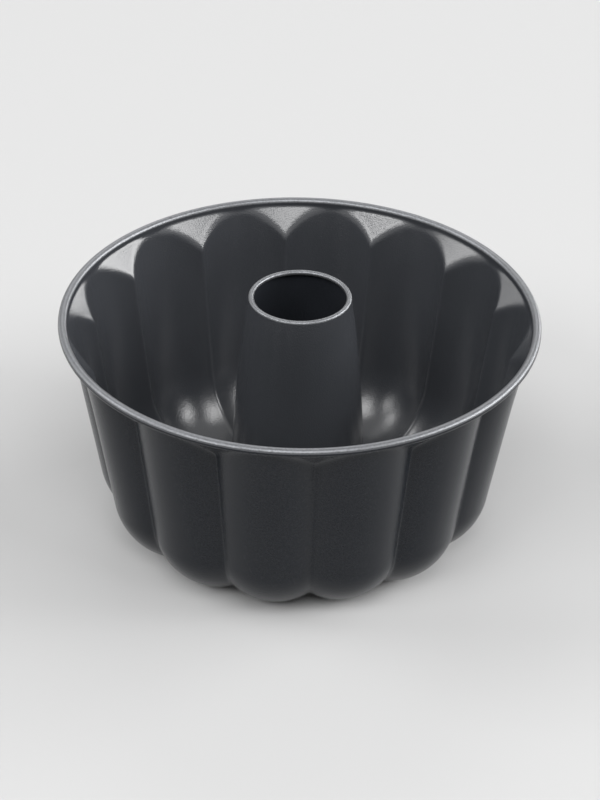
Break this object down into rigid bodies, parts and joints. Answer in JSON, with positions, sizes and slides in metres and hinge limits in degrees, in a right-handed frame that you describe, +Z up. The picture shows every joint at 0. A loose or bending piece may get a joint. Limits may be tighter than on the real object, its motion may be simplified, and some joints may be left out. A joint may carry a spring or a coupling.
{
  "type": "fluted tube pan",
  "caption": "Round deep cake pan with a ring of rounded lobes, a wire-rolled rim and a hollow tapered centre tube, for baking a fluted ring cake.",
  "frame": {"origin": "on the pan's axis, in the plane of the flat spots on the lobes' bottoms that the pan stands on", "axes": "+Z up along the pan's axis, out of the open rim; +X through the middle of one lobe"},
  "size_m": [0.2198, 0.22, 0.1208],
  "materials": {
    "nonstick_shell": "satin dark grey non-stick coating on thin sheet steel, with a fine orange-peel surface",
    "nonstick_tube": "satin dark grey non-stick coating on thin sheet steel, with a fine orange-peel surface",
    "wire_steel": "bare drawn steel wire, hidden inside the rolled rim"
  },
  "bodies": {
    "root": {"fluted_shell": "nonstick_shell", "centre_tube": "nonstick_tube", "rim_wire": "wire_steel"}
  },
  "joints": []
}
